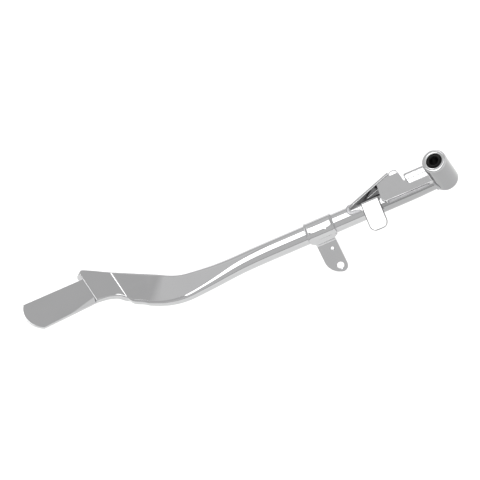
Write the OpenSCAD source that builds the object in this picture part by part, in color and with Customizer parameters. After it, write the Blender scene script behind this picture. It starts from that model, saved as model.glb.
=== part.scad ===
// Motorcycle side stand: the leg with its pivot barrel, swinging on a clamped pivot sleeve.
// Millimetres. The origin is the centre of the pivot bore, +Z runs along the pivot axis and
// the leg lies along -X.

/* [Pivot] */
// Outside diameter of the pivot barrel
barrel_d = 21; // [19:0.1:22]
// Length of the pivot barrel along its axis
barrel_len = 35.6; // [34:0.1:37]
// Bore of the barrel, which holds the bushes
bush_od = 12.4; // [12:0.1:13]
// Bore of the bushes, in which the sleeve turns
bush_id = 10.4; // [10.2:0.1:10.6]
// Length of each pressed-in bush
bush_len = 12; // [8:0.5:14]
// Depth of a bush below the end of the barrel
bush_inset = 1.2; // [1:0.1:2]
// Radial running clearance between sleeve and bushes
sleeve_gap = 0.05; // [0.02:0.01:0.1]
// Bore of the sleeve, for the pivot bolt
bolt_hole_d = 8.2; // [8:0.1:8.6]
// Rounding of the barrel's outer edges
barrel_round = 1.4; // [0.5:0.1:2]
// Chamfer at the mouths of the bore
mouth_chamfer = 0.8; // [0.5:0.1:1]

/* [Leg] */
// Diameter of the round leg
rod_d = 16; // [14:0.5:17]
// Depth of the leg's centre line below the centre of the barrel
rod_drop = 11.6; // [10:0.1:12]
// Distance from the pivot at which the leg starts to flatten
flatten_start = 150; // [140:1:160]
// Distance from the pivot at which the leg starts to widen
widen_start = 180; // [170:1:190]
// Distance from the pivot at which the flat is fully formed
flat_start = 264; // [258:1:270]
// Width of the flattened end
flat_w = 26.8; // [24:0.1:28]
// Thickness of the flattened end
flat_t = 7; // [6:0.1:8]
// Distance from the pivot to the corner of the edgewise bend
bend_at = 241; // [235:1:245]
// Angle of the edgewise bend
bend_angle = 28.6; // [25:0.1:32]
// Radius of the edgewise bend at its centre line
bend_r = 50; // [45:1:60]

/* [Foot] */
// Distance past the bend corner at which the inner edge folds up
fold_at = 59.7; // [57:0.1:62]
// Heading of the foot plate, turned from the leg's own heading
foot_turn = 13.3; // [10:0.1:16]
// Upward fold of the foot against the leg
foot_rise = 18.8; // [16:0.1:22]
// Length of the folded end pad of the leg
pad_len = 23; // [20:0.5:26]
// Distance from the fold to the tip of the foot plate
foot_reach = 82.5; // [75:0.1:90]
// Radius of the foot plate's rounded tip
tip_r = 18.9; // [18:0.1:20]
// Thickness of the foot plate at the weld
foot_root_t = 3.6; // [3:0.1:4]
// Thickness of the foot plate at the tip
foot_tip_t = 2.2; // [1.5:0.1:3]

/* [Lock plate] */
// Thickness of the stamped lock plate
plate_t = 3.4; // [3:0.1:4]
// Height of the upturned neck flange above the plate
neck_flange_h = 7; // [5:0.5:9]
// Thickness of the upturned flanges
flange_t = 2.2; // [1.8:0.1:3]

/* [Gusset] */
// Height of the gusset's wall above the lock plate
ramp_h = 0.6; // [0.2:0.1:2]

/* [Kick tab] */
// Width of the kick tab along the leg
tab_w = 15.8; // [14:0.1:19]
// Length of the kick tab
tab_len = 23; // [20:0.5:28]
// Downward slope of the kick tab
tab_slope = 25; // [20:1:30]
// Thickness of the kick tab
tab_t = 2.4; // [2:0.1:3]

/* [Saddle bracket] */
// Length of the saddle along the leg
saddle_len = 23.6; // [20:0.1:24]
// Sheet thickness of the saddle bracket
saddle_t = 1.2; // [1:0.1:1.6]
// Width of the flag tab at its bend
flag_w = 16.8; // [15:0.1:18]
// Distance of both holes from the straight edge of the flag tab
hole_edge = 6; // [5:0.1:7]
// Downward slope of the flag tab
flag_slope = 51.5; // [45:0.5:60]
// Diameter of the small locating hole
small_hole_d = 3; // [2.5:0.1:3.5]
// Diameter of the large hole
large_hole_d = 6.2; // [5.5:0.1:6.5]

/* [Hidden] */

$fn = 72;
rod_r = rod_d / 2;
rod_z = -rod_drop;
chrome = [0.80, 0.81, 0.82];
dull = [0.68, 0.69, 0.70];
dark = [0.16, 0.16, 0.17];
past = 40;   // how far a cutting tool runs past what it cuts

// ---- helpers ----
function mix(a, b, f) = a + (b - a) * f;
function ease(v, lo, hi) =
    let (f = min(max((v - lo) / (hi - lo), 0), 1)) f * f * (3 - 2 * f);
function unit(v) = v / norm(v);
function soft_pow(v, power) = sign(v) * pow(abs(v), power);

// A closed skin through rings of equal point counts, capped at both ends.
module skin(rings) {
    n = len(rings[0]);
    last = (len(rings) - 1) * n;
    side = [for (i = [0 : len(rings) - 2], j = [0 : n - 1], half = [0, 1])
        let (a = i * n + j, b = i * n + (j + 1) % n)
        half == 0 ? [a, b, b + n] : [a, b + n, a + n]];
    first_cap = [for (j = [n - 1 : -1 : 0]) j];
    last_cap = [for (j = [0 : n - 1]) last + j];
    polyhedron(points = [for (ring = rings) each ring], faces = concat([first_cap], side, [last_cap]));
}

// A weld bead: an eight-sided string through points, closed into a loop or capped at its ends.
// facing is a direction that is nowhere along the string.
module bead(points, r, facing, closed = false) {
    n = len(points);
    sides = 8;
    rings = [for (i = [0 : n - 1])
        let (before = closed ? points[(i + n - 1) % n] : points[max(i - 1, 0)],
             after = closed ? points[(i + 1) % n] : points[min(i + 1, n - 1)],
             along = unit(after - before),
             side = unit(cross(along, facing)),
             out = cross(side, along),
             end = !closed && (i == 0 || i == n - 1) ? 0.55 : 1)
        [for (k = [0 : sides - 1])
            points[i] + r * end * (cos(360 * k / sides) * side + sin(360 * k / sides) * out)]];
    if (closed) {
        total = n * sides;
        polyhedron(
            points = [for (one = rings) each one],
            faces = [for (i = [0 : n - 1], k = [0 : sides - 1], half = [0, 1])
                let (a = i * sides + k,
                     b = i * sides + (k + 1) % sides,
                     c = (b + sides) % total,
                     d = (a + sides) % total)
                half == 0 ? [a, b, c] : [a, c, d]]);
    } else {
        skin(rings);
    }
}

// Points along a straight line, for a bead.
function between(from, to, steps) = [for (i = [0 : steps]) mix(from, to, i / steps)];

// ---- leg: rings along its centre line ----
ring_points = 24;
bend_reach = bend_r * tan(bend_angle / 2);
bend_arc = bend_r * bend_angle * PI / 180;
arc_from = bend_at - bend_reach;
corner = [-bend_at, 0];
after_dir = [-cos(bend_angle), sin(bend_angle)];
after_side = [sin(bend_angle), cos(bend_angle)];

// Point and sideways direction of the centre line at a distance from the pivot.
function line_point(d) =
    let (turned = min(max((d - arc_from) / bend_arc, 0), 1) * bend_angle,
         past_arc = max(d - arc_from - bend_arc, 0))
    [-min(d, arc_from), 0]
    + bend_r * [-sin(turned), 1 - cos(turned)]
    + past_arc * after_dir;
function line_side(d) =
    let (turned = min(max((d - arc_from) / bend_arc, 0), 1) * bend_angle)
    [sin(turned), cos(turned)];

// One ring about a centre, from its half width and half thickness vectors.
function ring(centre, wide, thick, power) = [
    for (k = [0 : ring_points - 1])
        let (a = 360 * k / ring_points)
        centre + wide * soft_pow(cos(a), 2 / power) + thick * soft_pow(sin(a), 2 / power)];

flat_z = rod_z - 0.8;
flat_power = 5;         // squareness of the flat's section; 2 is round
pad_power = 6;          // squareness of the end pad's section
neck_from = 30;         // the underside rises to the barrel's lower end from here
neck_to = 8;
sway_from = 165;        // the leg leans out by a millimetre before the bend
sway_to = 250;
function leg_ring(d) =
    let (p = line_point(d), s = line_side(d),
         flat = ease(d, flatten_start, flat_start),
         wide = mix(rod_r, flat_w / 2, ease(d, widen_start, flat_start)),
         thick = mix(rod_r, flat_t / 2, flat),
         neck = ease(-d, -neck_from, -neck_to),
         lift = neck * (rod_r + rod_drop - barrel_len / 2) / 2,
         sway = sin(180 * ease(d, sway_from, sway_to)))
    ring([p.x, p.y - sway, mix(rod_z, flat_z, flat) + lift],
         wide * [s.x, s.y, 0], [0, 0, thick - lift], mix(2, flat_power, flat));

// ---- foot: a frame whose x runs to the tip and whose z is the upper face's normal ----
foot_heading = 180 + foot_turn;
fold_inset = 1.6;
fold_xy = corner + fold_at * after_dir + (flat_w / 2 - fold_inset) * after_side;
fold_corner = [fold_xy.x, fold_xy.y, flat_z + flat_t / 2];
toe = [cos(foot_rise) * cos(foot_heading), cos(foot_rise) * sin(foot_heading), sin(foot_rise)];
across = [-sin(foot_heading), cos(foot_heading), 0];
up = cross(toe, across);
function foot_point(x, y, z) = fold_corner + x * toe + y * across + z * up;
module foot_frame() {
    translate(fold_corner) rotate([0, -foot_rise, foot_heading]) children();
}

// A ring of the end pad between two points of its edges, in the foot's frame.
function pad_ring(x, y_in, y_out, t) =
    ring(foot_point(x, (y_in + y_out) / 2, -t / 2), (y_in - y_out) / 2 * across, t / 2 * up, pad_power);

// The fold: the ring lies across the foot's heading, tilted half way up.
fold_in = -1.8;
fold_out = 29;
fold_normal = unit([0, 0, 1] + up);
fold_ring =
    ring(fold_corner + across * (fold_in + fold_out) / 2 - fold_normal * flat_t / 2,
         across * (fold_in - fold_out) / 2, fold_normal * flat_t / 2, pad_power);

// Rings that turn from square to the leg to parallel with the fold.
skew_from = 262;
outer_bulge = 4.2;
function skew_ring(f) =
    let (near_in = line_point(skew_from) + flat_w / 2 * line_side(skew_from),
         near_out = line_point(skew_from) - flat_w / 2 * line_side(skew_from),
         far_in = fold_corner + across * fold_in,
         far_out = fold_corner + across * fold_out,
         a = mix(near_in, [far_in.x, far_in.y], f),
         b = mix(near_out, [far_out.x, far_out.y], f) - outer_bulge * f * f * sin(180 * f) * after_side,
         m = (a + b) / 2, w = (a - b) / 2)
    ring([m.x, m.y, flat_z], [w.x, w.y, 0], [0, 0, flat_t / 2], mix(flat_power, pad_power, f));

leg_rings = concat(
    [for (d = [2, 12, 16, 20, 25, 30]) leg_ring(d)],
    [for (d = [flatten_start - 5 : 8 : skew_from - 4]) leg_ring(d)],
    [for (f = [0 : 0.2 : 0.81]) skew_ring(f)],
    [fold_ring,
     pad_ring(5, -5.4, 22, 6.6),
     pad_ring(12, -10.6, 19.6, 6),
     pad_ring(19, -15.2, 18.8, 5.4),
     pad_ring(21.5, -15.4, 18.7, 5.2),
     pad_ring(pad_len, -13, 18.6, 5)]);

module leg_bar() {
    color(chrome) difference() {
        skin(leg_rings);
        translate([0, 0, -past]) cylinder(d = barrel_d, h = 2 * past);
    }
}

// ---- pivot ----
module pivot_barrel() {
    half = barrel_len / 2;
    r = barrel_d / 2;
    bore_r = bush_od / 2;
    round_r = barrel_round;
    outline = [
        [bore_r, -half + mouth_chamfer],
        [bore_r + mouth_chamfer, -half],
        for (a = [270 : 15 : 360]) [r - round_r + round_r * cos(a), -half + round_r + round_r * sin(a)],
        for (a = [0 : 15 : 90]) [r - round_r + round_r * cos(a), half - round_r + round_r * sin(a)],
        [bore_r + mouth_chamfer, half],
        [bore_r, half - mouth_chamfer]];
    color(chrome) rotate_extrude() polygon(outline);
}

module bush(z) {
    color(dark) translate([0, 0, z]) difference() {
        cylinder(d = bush_od, h = bush_len);
        translate([0, 0, -1]) cylinder(d = bush_id, h = bush_len + 2);
    }
}
module bush_upper() { bush(barrel_len / 2 - bush_inset - bush_len); }
module bush_lower() { bush(-barrel_len / 2 + bush_inset); }

module pivot_sleeve() {
    color(dark) translate([0, 0, -barrel_len / 2]) difference() {
        cylinder(d = bush_id - 2 * sleeve_gap, h = barrel_len);
        translate([0, 0, -1]) cylinder(d = bolt_hole_d, h = barrel_len + 2);
    }
}

// ---- lock plate and its neighbours ----
plate_top = -1.6;
plate_low = -5.8;       // leg-side edge of the plate
plate_high = 7.4;       // outer edge of the plate beside the neck
ear_left = -54;         // step at the foot end of the ear
ear_tip = [-36.4, 19.3];
notch = [-31.2, 6.5];
notch_r = 1.5;
ear_round = 2.4;

module lock_plate() {
    ear_arc = [for (a = [110 : -14 : 12]) ear_tip + ear_round * [cos(a) - 0.2, sin(a) - 1]];
    outline = concat(
        [[-4, plate_low], [-51, plate_low], [ear_left, plate_low + 3], [ear_left, 13.8], [-43, 18]],
        ear_arc,
        [[notch.x - 1.2, notch.y], [notch.x + 1.6, plate_high], [-4, plate_high]]);
    color(chrome) difference() {
        translate([0, 0, plate_top - plate_t]) linear_extrude(plate_t) polygon(outline);
        translate([0, 0, -past]) cylinder(d = barrel_d, h = 2 * past);
        translate([notch.x, notch.y, -past]) cylinder(r = notch_r, h = 2 * past);
    }
}

flange_from = -29.6;
module neck_flange() {
    color(chrome) difference() {
        translate([flange_from, plate_high, plate_top])
            rotate([90, 0, 0]) linear_extrude(flange_t) polygon([
                [0, 0], [-flange_from, 0], [-flange_from, neck_flange_h],
                for (a = [90 : 15 : 180]) [1.6 + 1.6 * cos(a), neck_flange_h - 1.6 + 1.6 * sin(a)]]);
        translate([0, 0, -past]) cylinder(d = barrel_d, h = 2 * past);
    }
}

// The gusset: a sheet floor beside the leg with a wall along its sloping outer edge.
ramp_nose = [-82.5, 3.2];
ramp_end = [-42.4, 18.7];
ramp_run = ramp_end - ramp_nose;
ramp_angle = atan2(ramp_run.y, ramp_run.x);
ramp_length = norm(ramp_run);
ramp_floor = -7.6;      // upper face of the gusset's floor
ramp_base = -9.8;       // lower edge of the gusset

module ramp_gusset() {
    top = plate_top + ramp_h;
    wall = [[0, ramp_base], [ramp_length, ramp_base], [ramp_length, top - 1.4],
            [ramp_length - 1.4, top], [6, top], [0, top - 1.6]];
    floor_edge = [ramp_nose + [3, 0], ramp_end + [0, -0.4], ramp_end + [0, -14], ramp_nose + [3, -2]];
    color(chrome) difference() {
        union() {
            translate([ramp_nose.x, ramp_nose.y, 0]) rotate([90, 0, ramp_angle])
                linear_extrude(flange_t) polygon(wall);
            translate([0, 0, ramp_base]) linear_extrude(ramp_floor - ramp_base) polygon(floor_edge);
        }
        translate([-past * 3, 0, rod_z]) rotate([0, 90, 0]) cylinder(d = rod_d, h = past * 3);
        translate([ear_left, -past, plate_top - plate_t]) cube([past, 2 * past, past]);
    }
}

// The kick tab: a rounded tongue that leaves the top of the leg and slopes down past its side.
tab_root = [-64, -1.5, plate_top - 0.4];
module kick_tab() {
    corner_r = 5.6;
    half = tab_w / 2;
    outline = [
        [-half, 0], [half, 0],
        for (a = [0 : 15 : 90]) [half - corner_r, tab_len - corner_r] + corner_r * [cos(a), sin(a)],
        for (a = [90 : 15 : 180]) [corner_r - half, tab_len - corner_r] + corner_r * [cos(a), sin(a)]];
    color(chrome) difference() {
        translate(tab_root) rotate([-tab_slope, 0, 180])
            translate([0, 0, -tab_t]) linear_extrude(tab_t) polygon(outline);
        translate([-past * 3, 0, rod_z]) rotate([0, 90, 0]) cylinder(d = rod_d, h = past * 3);
    }
}

// ---- saddle bracket: an inverted U over the leg whose front leg bends out as the flag tab ----
saddle_x = -122.6;
saddle_r = rod_r + saddle_t;
saddle_far = 6.7;       // how far the saddle reaches down the back of the leg
flag_x = -119.7;
flag_t = 2;
flag_bend_z = -20.2;
flag_shoulder_z = -16;
small_hole_at = 6.1;
large_hole_at = 22.7;

// The flag tab's own frame: x along the leg, y down the tab, z its thickness.
module flag_frame() {
    translate([flag_x, -saddle_r + saddle_t / 2, flag_bend_z])
        rotate([180 + flag_slope, 0, 0]) children();
}

module saddle_bracket() {
    hole_x = flag_w - hole_edge;
    flank_r = 13.2;
    outline = [
        [0, 0], [flag_w, 0],
        for (a = [0 : 12 : 96]) [hole_x, large_hole_at] + hole_edge * [cos(a), sin(a)],
        for (a = [118 : 10 : 178]) [flank_r, 14.6] + flank_r * [cos(a), sin(a)]];
    relief = 0.1;
    left = flag_x + 2 * relief;
    right = flag_x + flag_w - 2 * relief;
    front = [
        [saddle_x, rod_z], [saddle_x, rod_z - 1.4], [left, flag_shoulder_z], [left, flag_bend_z],
        [right, flag_bend_z], [right, flag_shoulder_z],
        [saddle_x + saddle_len, rod_z - 1.4], [saddle_x + saddle_len, rod_z]];
    color(chrome) difference() {
        union() {
            difference() {
                translate([saddle_x, 0, rod_z]) rotate([0, 90, 0]) cylinder(r = saddle_r, h = saddle_len);
                translate([saddle_x - 1, -past, rod_z - past]) cube([saddle_len + 2, 2 * past, past]);
                translate([saddle_x - 1, saddle_far, rod_z - 1]) cube([saddle_len + 2, past, past]);
            }
            translate([0, -rod_r - relief, 0]) rotate([90, 0, 0])
                linear_extrude(saddle_t) polygon(front);
            translate([flag_x + relief, -saddle_r + saddle_t / 2, flag_bend_z]) rotate([0, 90, 0])
                cylinder(d = flag_t + 3 * relief, h = flag_w - 2 * relief);
            flag_frame() translate([0, 0, -flag_t / 2]) linear_extrude(flag_t) polygon(outline);
        }
        translate([-past * 4, 0, rod_z]) rotate([0, 90, 0]) cylinder(d = rod_d, h = past * 4);
        for (hole = [[small_hole_at, small_hole_d], [large_hole_at, large_hole_d]])
            flag_frame() translate([hole_x, hole[0], -past / 2]) cylinder(d = hole[1], h = past);
    }
}

// ---- foot plate ----
foot_in = -6.2;         // inner edge at the weld
foot_out = 18.7;        // outer edge at the weld
foot_start = pad_len + 0.1;
foot_sink = 0.4;        // upper face of the plate below the pad's
bevel_root = 2.4;       // width of the outer edge's bevel at the weld
bevel_run = 28;         // length over which the bevel dies out
weld_prep = 2.4;        // length of the chamfer under the welded edge
weld_prep_rise = 1.6;   // height of that chamfer
module foot_plate() {
    tip_c = [foot_reach - tip_r, 5];
    taper = (foot_root_t - foot_tip_t) / (foot_reach - foot_start + 2);
    prep_z = -foot_sink - foot_root_t + taper * (weld_prep + 1);
    outline = [
        [foot_start, foot_in],
        for (a = [-39.4 : 9.94 : 60.2]) tip_c + tip_r * [cos(a), sin(a)],
        [foot_start, foot_out]];
    color(chrome) foot_frame() difference() {
        intersection() {
            translate([0, 0, -past / 2]) linear_extrude(past) polygon(outline);
            translate([0, past, 0]) rotate([90, 0, 0]) linear_extrude(2 * past) polygon([
                [foot_start - 1, -foot_sink], [foot_reach + 1, -foot_sink],
                [foot_reach + 1, -foot_sink - foot_tip_t], [foot_start + weld_prep, prep_z],
                [foot_start - 1, prep_z + weld_prep_rise * (weld_prep + 1) / weld_prep]]);
        }
        translate([foot_start + bevel_run, foot_out + 0.6, -foot_sink])
            rotate([0, 0, atan2(bevel_root + 0.6, bevel_run)]) rotate([-40, 0, 0])
            translate([-2 * past, -0.6, 0]) cube([4 * past, past, past]);
    }
}

// ---- welds ----
// Round the leg where it is coped to the barrel.
module barrel_weld() {
    loop = [for (a = [0 : 15 : 345])
        let (y = (rod_r - 0.3) * cos(a), z = (rod_r - 0.3) * sin(a) * (sin(a) < 0 ? 0.68 : 1))
        [-sqrt(barrel_d * barrel_d / 4 - y * y) - 0.1, y, rod_z + z]];
    color(dull) bead(loop, 1.2, [1, 0, 0], closed = true);
}

module plate_weld() {
    color(dull) bead(between([-50, plate_low - 0.2, plate_top - 2.4],
                             [-12.5, plate_low - 0.2, plate_top - 2.4], 6), 1.3, [0, 0, 1]);
}

module gusset_nose_weld() {
    arc = [for (a = [60 : 20 : 220]) [ramp_nose.x + 2 + 3 * cos(a), 1.6 + 2.8 * sin(a), -4.2]];
    color(dull) bead(arc, 1.3, [0, 0, 1]);
}

module gusset_back_weld() {
    color(dull) bead(between([-66, 7.7, -9.8], [-43.5, 7.7, -9.8], 4), 1.2, [0, 0, 1]);
}

module kick_tab_weld() {
    color(dull) bead(between([tab_root.x - tab_w / 2 + 1, 0.2, -3.6],
                             [tab_root.x + tab_w / 2 + 1, -0.4, -3.6], 4), 1.3, [0, 0, 1]);
}

module saddle_weld(x) {
    arc = [for (a = [42 : 12 : 180]) [x, rod_r * cos(a), rod_z + rod_r * sin(a)]];
    color(dull) bead(arc, 0.9, [1, 0, 0]);
}
module saddle_weld_front() { saddle_weld(saddle_x + saddle_len + 0.3); }
module saddle_weld_rear() { saddle_weld(saddle_x - 0.3); }

module foot_weld(depth, r) {
    color(dull) bead(between(foot_point(foot_start, foot_in + 0.8, depth),
                             foot_point(foot_start, foot_out - 0.4, depth), 5), r, up);
}
module foot_weld_top() { foot_weld(-0.9, 1.1); }
module foot_weld_under() { foot_weld(-foot_root_t + 0.2, 1.2); }

leg_bar();
pivot_barrel();
bush_upper();
bush_lower();
pivot_sleeve();
lock_plate();
neck_flange();
ramp_gusset();
kick_tab();
saddle_bracket();
foot_plate();
barrel_weld();
plate_weld();
gusset_nose_weld();
gusset_back_weld();
kick_tab_weld();
saddle_weld_front();
saddle_weld_rear();
foot_weld_top();
foot_weld_under();
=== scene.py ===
"""A chromed motorcycle side stand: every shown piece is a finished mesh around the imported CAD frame."""

import math

import bmesh
import bpy
import numpy as np
from mathutils import Matrix, Vector


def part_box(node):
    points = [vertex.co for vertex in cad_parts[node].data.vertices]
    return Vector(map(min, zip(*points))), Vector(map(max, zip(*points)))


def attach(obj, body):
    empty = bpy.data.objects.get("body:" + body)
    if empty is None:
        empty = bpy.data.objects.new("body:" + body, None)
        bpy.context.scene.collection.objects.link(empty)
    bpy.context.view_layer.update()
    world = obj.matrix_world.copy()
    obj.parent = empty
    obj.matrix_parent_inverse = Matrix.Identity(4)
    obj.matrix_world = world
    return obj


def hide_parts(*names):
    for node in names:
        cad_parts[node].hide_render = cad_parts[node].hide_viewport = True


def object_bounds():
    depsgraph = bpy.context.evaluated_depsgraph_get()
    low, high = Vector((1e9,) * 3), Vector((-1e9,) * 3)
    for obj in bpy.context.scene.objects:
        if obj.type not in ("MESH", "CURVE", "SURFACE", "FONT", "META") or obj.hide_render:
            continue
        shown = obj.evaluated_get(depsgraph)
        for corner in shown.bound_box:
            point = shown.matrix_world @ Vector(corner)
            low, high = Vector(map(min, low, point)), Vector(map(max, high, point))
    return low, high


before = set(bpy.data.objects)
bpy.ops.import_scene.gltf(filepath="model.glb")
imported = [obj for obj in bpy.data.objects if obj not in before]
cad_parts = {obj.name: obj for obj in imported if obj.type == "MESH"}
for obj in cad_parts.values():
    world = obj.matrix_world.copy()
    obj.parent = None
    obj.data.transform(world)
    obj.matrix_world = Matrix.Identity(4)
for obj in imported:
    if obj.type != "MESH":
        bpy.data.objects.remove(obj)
cad_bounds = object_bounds()

# ---------------------------------------------------------------- dimensions (millimetres)
MM = 0.001


def box_mm(node):
    """Lowest and highest corners of a CAD node, in millimetres."""
    low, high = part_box(node)
    return np.array(low) / MM, np.array(high) / MM


LEG_LOW = box_mm("leg_bar")[0]
BARREL_HIGH = box_mm("pivot_barrel")[1]
BUSH_HIGH = box_mm("bush_upper")[1]
SLEEVE_LOW, SLEEVE_HIGH = box_mm("pivot_sleeve")
PLATE_LOW, PLATE_HIGH = box_mm("lock_plate")
FLANGE_LOW, FLANGE_HIGH = box_mm("neck_flange")
RAMP_LOW, RAMP_HIGH = box_mm("ramp_gusset")
SADDLE_LOW, SADDLE_HIGH = box_mm("saddle_bracket")

BARREL_R = BARREL_HIGH[0]
BARREL_HALF = BARREL_HIGH[2]
ROD_R = 8.0
ROD_Z = LEG_LOW[2] + ROD_R          # the round leg is the lowest part of the leg node
FLAT_W = 26.8
FLAT_T = 7.0
FLAT_Z = ROD_Z - 0.8
BEND_AT = 241.0
BEND_ANGLE = math.radians(28.6)
BEND_R = 50.0
FOLD_AT = 59.7
FOLD_INSET = 1.6
FOOT_TURN = math.radians(13.3)
FOOT_RISE = math.radians(18.8)
PAD_LEN = 23.0
PLATE_TOP = PLATE_HIGH[2]


# ---------------------------------------------------------------- small maths
def mix(a, b, f):
    return a + (b - a) * f


def ease(value, low, high):
    f = min(max((value - low) / (high - low), 0.0), 1.0)
    return f * f * (3 - 2 * f)


def vec(*values):
    return np.array(values, dtype=float)


def unit(v):
    return v / np.linalg.norm(v)


FLAT_STEPS = (0.03, 0.12, 0.3, 0.5, 0.7, 0.88, 0.97)    # points along each flat side of a slab
QUARTER = 16                                            # points round each corner of a slab


def slab_ring(centre, wide, thick, corner):
    """A rounded slab: half width and half thickness vectors, and the radius of its corners."""
    w, t = np.linalg.norm(wide), np.linalg.norm(thick)
    c = min(corner, w - 0.05, t - 0.02)
    quarter = np.linspace(0, math.pi / 2, QUARTER)
    outline = []
    for turn, sx, sy in ((0, 1, 1), (1, -1, 1), (2, -1, -1), (3, 1, -1)):
        a = quarter + turn * math.pi / 2
        outline += list(zip(sx * (w - c) + c * np.cos(a), sy * (t - c) + c * np.sin(a)))
        if turn in (0, 2):
            outline += [(sx * (w - c) * (1 - 2 * f), sy * t) for f in FLAT_STEPS]
    outline = np.array(outline)
    return centre + np.outer(outline[:, 0], wide / w) + np.outer(outline[:, 1], thick / t)


def arc_points(across, up, radius, from_deg, to_deg, count):
    """Points (across, up) on an arc about a centre."""
    turns = [math.radians(a) for a in np.linspace(from_deg, to_deg, count)]
    return [(across + radius * math.cos(t), up + radius * math.sin(t)) for t in turns]


def straight(a, b, count=120):
    """Evenly spaced points on the line between two points."""
    return np.array([mix(vec(*a), vec(*b), f) for f in np.linspace(0, 1, count)])


def smooth_rows(rows, sigma):
    """Blurs a stack of rings along its length; the end rings stay where they are."""
    reach = max(int(3 * sigma), 1)
    kernel = np.exp(-0.5 * (np.arange(-reach, reach + 1) / sigma) ** 2)
    kernel /= kernel.sum()
    padded = np.concatenate([np.repeat(rows[:1], reach, 0), rows, np.repeat(rows[-1:], reach, 0)])
    out = sum(k * padded[i:i + len(rows)] for i, k in enumerate(kernel))
    out[0], out[-1] = rows[0], rows[-1]
    return out


# ---------------------------------------------------------------- mesh building
def make_object(name, points, faces, sharp_angle=40):
    """A mesh object from points in millimetres, smooth except across sharp edges."""
    mesh = bpy.data.meshes.new(name)
    mesh.from_pydata([tuple(p * MM) for p in np.asarray(points)], [], faces)
    obj = bpy.data.objects.new(name, mesh)
    bpy.context.scene.collection.objects.link(obj)
    tidy_mesh(obj, sharp_angle)
    return obj


def tidy_mesh(obj, sharp_angle=40):
    bm = bmesh.new()
    bm.from_mesh(obj.data)
    bmesh.ops.remove_doubles(bm, verts=bm.verts, dist=1e-7)
    bmesh.ops.recalc_face_normals(bm, faces=bm.faces)
    limit = math.radians(sharp_angle)
    for face in bm.faces:
        face.smooth = True
    for edge in bm.edges:
        edge.smooth = len(edge.link_faces) != 2 or edge.calc_face_angle(0.0) < limit
    bm.to_mesh(obj.data)
    bm.free()
    obj.data.update()


def apply_modifiers(obj):
    evaluated = obj.evaluated_get(bpy.context.evaluated_depsgraph_get())
    mesh = bpy.data.meshes.new_from_object(evaluated)
    obj.modifiers.clear()
    obj.data = mesh


def loft(name, rings, sharp_angle=40, closed=False):
    """A skin through rings of equal counts, its ends filled, or joined when closed."""
    rows, count = len(rings), len(rings[0])
    points = np.concatenate(rings)
    faces = []
    for i in range(rows if closed else rows - 1):
        a, b = i * count, ((i + 1) % rows) * count
        for j in range(count):
            k = (j + 1) % count
            faces.append((a + j, a + k, b + k, b + j))
    if not closed:
        faces.append(tuple(range(count))[::-1])
        faces.append(tuple(range((rows - 1) * count, rows * count)))
    return make_object(name, points, faces, sharp_angle)


def lathe(name, profile, segments=128, z_offset=0.0):
    """A closed (radius, height) profile turned round the pivot axis."""
    rings = []
    for i in range(segments):
        a = 2 * math.pi * i / segments
        rings.append(np.array([[r * math.cos(a), r * math.sin(a), z + z_offset] for r, z in profile]))
    return loft(name, rings, sharp_angle=35, closed=True)


def sheet(name, top, bottom, edge_width, edge_segments=4):
    """A closed plate between two grids of points of the same shape, with its rim rounded."""
    rows, cols = top.shape[:2]
    points = np.concatenate([top.reshape(-1, 3), bottom.reshape(-1, 3)])
    below = rows * cols
    faces = []
    for i in range(rows - 1):
        for j in range(cols - 1):
            a, d = i * cols + j, (i + 1) * cols + j
            b, c = a + 1, d + 1
            faces.append((a, b, c, d))
            faces.append((below + d, below + c, below + b, below + a))
    rim = [(0, j) for j in range(cols)] + [(i, cols - 1) for i in range(1, rows)]
    rim += [(rows - 1, j) for j in range(cols - 2, -1, -1)] + [(i, 0) for i in range(rows - 2, 0, -1)]
    ids = [i * cols + j for i, j in rim]
    for a, b in zip(ids, ids[1:] + ids[:1]):
        faces.append((b, a, below + a, below + b))
    obj = make_object(name, points, faces)
    round_edges(obj, edge_width, edge_segments)
    return obj


def round_edges(obj, width, segments=4, angle=35):
    bevel = obj.modifiers.new("round", "BEVEL")
    bevel.width = width * MM
    bevel.segments = segments
    bevel.limit_method = "ANGLE"
    bevel.angle_limit = math.radians(angle)
    bevel.use_clamp_overlap = True
    bevel.harden_normals = False
    apply_modifiers(obj)
    tidy_mesh(obj, 50)


def cut(obj, cutter):
    boolean = obj.modifiers.new("cut", "BOOLEAN")
    boolean.operation = "DIFFERENCE"
    boolean.object = cutter
    boolean.solver = "EXACT"
    apply_modifiers(obj)
    bpy.data.objects.remove(cutter)
    tidy_mesh(obj)


def bead(name, path, radius, ripples, seed, closed=False, flat=0.8, facing=None, nub=0.0):
    """A weld bead with the overlapping ripples of its puddles, and a lump near its start if nub is given."""
    rng = np.random.default_rng(seed)
    path = np.asarray(path)
    count = len(path)
    phase = rng.uniform(0, 2 * math.pi, 4)[0]
    rings = []
    sides = 20
    ripple_h, wander_h, wander_turns, lean_h = 0.13, 0.05, 7, 0.35
    nub_at, nub_spread = 0.035, 0.03
    facing = vec(0, 0, 1) if facing is None else facing
    for i, point in enumerate(path):
        after = path[(i + 1) % count] if closed else path[min(i + 1, count - 1)]
        before = path[i - 1] if closed or i else path[0]
        along = unit(after - before)
        side = unit(np.cross(along, facing))
        out = np.cross(side, along)
        f = i / count if closed else i / (count - 1)
        puddle = (f * ripples) % 1.0
        wander = wander_h * math.sin(wander_turns * f * math.pi + phase)
        size = radius * (0.9 + ripple_h * math.sqrt(1 - puddle) + wander)
        if not closed:
            size *= math.sqrt(max(1 - (2 * f - 1) ** 8, 0.02))
            size *= 1 + nub * math.exp(-((f - nub_at) / nub_spread) ** 2)
        angle = np.arange(sides) * 2 * math.pi / sides
        lean = lean_h * radius * np.cos(angle) ** 2
        ring = point + size * (np.outer(np.cos(angle), side) + flat * np.outer(np.sin(angle), out))
        rings.append(ring + np.outer(lean, along) * 0.5)
    return loft(name, rings, sharp_angle=60, closed=closed)


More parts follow.
